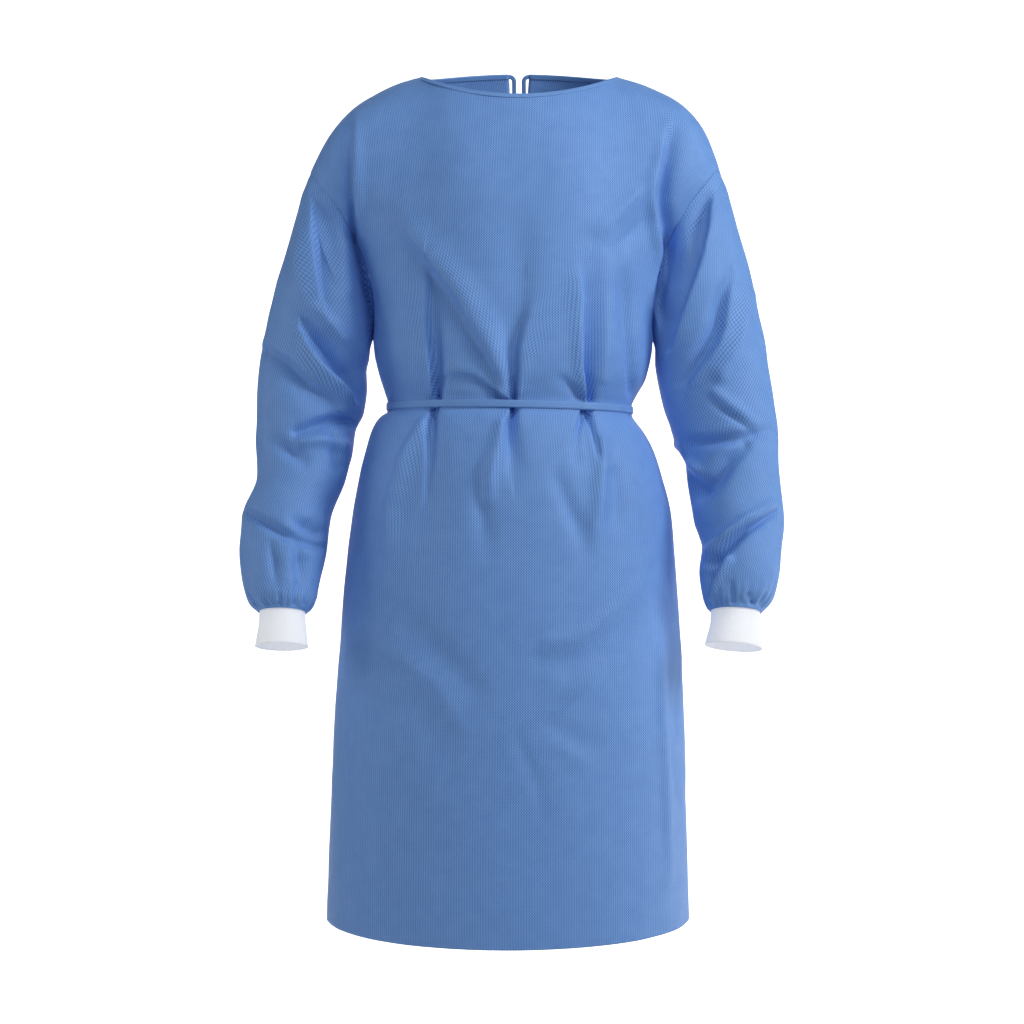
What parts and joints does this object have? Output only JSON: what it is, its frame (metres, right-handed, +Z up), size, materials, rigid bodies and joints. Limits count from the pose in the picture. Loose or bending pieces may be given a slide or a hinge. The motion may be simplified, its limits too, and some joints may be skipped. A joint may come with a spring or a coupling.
{
  "type": "isolation gown",
  "caption": "Knee-length long-sleeved isolation gown in blue nonwoven, worn shape and empty, open down the back, with knitted cuffs and a waist belt",
  "frame": {"origin": "midway between the two side points of the neckline, where the shoulders carry the gown", "axes": "+Z up along the gown's length, -Y out of the front, +X to the viewer's right when facing the front"},
  "size_m": [0.703, 0.3858, 1.1281],
  "materials": {
    "nonwoven": "blue spunbond nonwoven, embossed with small diamonds and fine ribs, faint sheen",
    "cuff_knit": "white fine rib knit, matt",
    "tape": "the same nonwoven folded to a narrow tape and topstitched"
  },
  "bodies": {
    "root": {"front_panel": "nonwoven", "back_left": "nonwoven", "back_right": "nonwoven", "sleeve_left": "nonwoven", "sleeve_right": "nonwoven", "cuff_left": "cuff_knit", "cuff_right": "cuff_knit", "neck_binding": "tape", "neck_tie_left": "tape", "neck_tie_right": "tape", "waist_belt": "tape", "waist_knot": "tape", "waist_end_left": "tape", "waist_end_right": "tape"}
  },
  "joints": []
}
